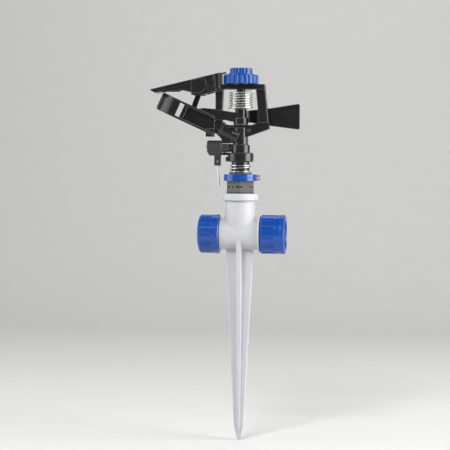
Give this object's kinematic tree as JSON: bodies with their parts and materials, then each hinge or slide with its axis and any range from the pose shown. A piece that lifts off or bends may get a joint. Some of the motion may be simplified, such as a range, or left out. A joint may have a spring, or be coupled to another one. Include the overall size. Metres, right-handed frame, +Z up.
{
  "type": "impact sprinkler",
  "caption": "Impact sprinkler on a ground spike: T-shaped base with hose swivel and end cap, turning head with sprung drive arm, arc stops, trip lever and distance flap.",
  "frame": {"origin": "on the spike's axis where its ribs meet the ground", "axes": "+Z up along the spike and riser, +X out of the hose inlet, the sprinkler's front faces -Y"},
  "size_m": [0.1338, 0.0356, 0.3355],
  "materials": {
    "grey_plastic": "smooth light grey moulding",
    "blue_plastic": "glossy royal blue moulding",
    "black_gloss": "glossy black moulding",
    "black_satin": "satin black moulding",
    "white_nylon": "natural nylon",
    "black_rubber": "soft seal rubber",
    "spring_steel": "drawn wire",
    "bright_steel": "bright stainless wire and pins"
  },
  "bodies": {
    "base": {"spike": "grey_plastic", "base_tee": "grey_plastic", "swivel_tailpiece": "white_nylon", "nut_gasket": "black_rubber", "bearing_nut": "black_satin", "thrust_washer": "white_nylon"},
    "hose_swivel": {"swivel_coupling": "blue_plastic", "hose_washer": "black_rubber"},
    "cap_seal": {"cap_washer": "black_rubber"},
    "cap": {"end_cap": "blue_plastic"},
    "lower_stop": {"stop_collar_lower": "blue_plastic", "stop_tab_lower": "black_gloss"},
    "upper_stop": {"stop_collar_upper": "blue_plastic", "stop_tab_upper": "black_gloss"},
    "head": {"head_body": "black_gloss", "bearing_tube": "white_nylon", "bearing_seal": "black_rubber", "spring_washer": "spring_steel", "bearing_spring": "spring_steel", "nozzle": "black_satin", "nozzle_o_ring": "black_rubber", "flow_straightener": "black_satin", "fulcrum_pin": "black_gloss", "arm_washer_lower": "black_satin", "arm_washer_upper": "black_satin", "arm_spring": "spring_steel", "flap_pin": "black_gloss", "knob_screw": "bright_steel", "trip_pivot": "bright_steel", "trip_spring": "spring_steel"},
    "arm": {"drive_arm": "black_gloss"},
    "flap": {"range_flap": "black_gloss"},
    "knob": {"range_knob": "blue_plastic"},
    "trip": {"trip_lever": "black_gloss"},
    "trip_wire": {"trip_pin": "bright_steel"}
  },
  "joints": [
    {"name": "head_spin", "type": "hinge", "parent": "base", "child": "head", "pos_m": [0, 0, 0.07], "axis": [0, 0, 1], "range_deg": [-125, 210]},
    {"name": "arm_swing", "type": "hinge", "parent": "head", "child": "arm", "pos_m": [0, 0, 0.12], "axis": [0, 0, 1], "range_deg": [0, 100], "stiffness_Nm_per_rad": 0.02, "springref_deg": -22.92},
    {"name": "knob_turn", "type": "hinge", "parent": "head", "child": "knob", "pos_m": [0, 0, 0.153], "axis": [0, 0, 1], "range_deg": [0, 120]},
    {"name": "flap_tilt", "type": "hinge", "parent": "head", "child": "flap", "pos_m": [-0.0267, 0, 0.1454], "axis": [0, 1, 0], "range_deg": [0, 7]},
    {"name": "trip_rock", "type": "hinge", "parent": "head", "child": "trip", "pos_m": [-0.02, 0, 0.092], "axis": [1, 0, 0], "range_deg": [-14, 14]},
    {"name": "trip_pin_fold", "type": "hinge", "parent": "trip", "child": "trip_wire", "pos_m": [-0.0206, 0, 0.0798], "axis": [0, 1, 0], "range_deg": [0, 95]},
    {"name": "lower_stop_turn", "type": "hinge", "parent": "base", "child": "lower_stop", "pos_m": [0, 0, 0.064], "axis": [0, 0, 1], "range_deg": [-120, 120]},
    {"name": "upper_stop_turn", "type": "hinge", "parent": "base", "child": "upper_stop", "pos_m": [0, 0, 0.067], "axis": [0, 0, 1], "range_deg": [-120, 120]},
    {"name": "hose_swivel_turn", "type": "hinge", "parent": "base", "child": "hose_swivel", "pos_m": [0.03, 0, 0.0144], "axis": [1, 0, 0], "continuous": true},
    {"name": "cap_advance", "type": "slide", "parent": "base", "child": "cap_seal", "axis": [-1, 0, 0], "range_m": [0, 0.0055]},
    {"name": "cap_turn", "type": "hinge", "parent": "cap_seal", "child": "cap", "pos_m": [-0.028, 0, 0.0144], "axis": [-1, 0, 0], "range_deg": [0, 897]}
  ],
  "couplings": [
    {"joint": "flap_tilt", "follows": "knob_turn", "ratio": 0.058333},
    {"joint": "cap_turn", "follows": "cap_advance", "rad_per_m": 2844.7}
  ]
}
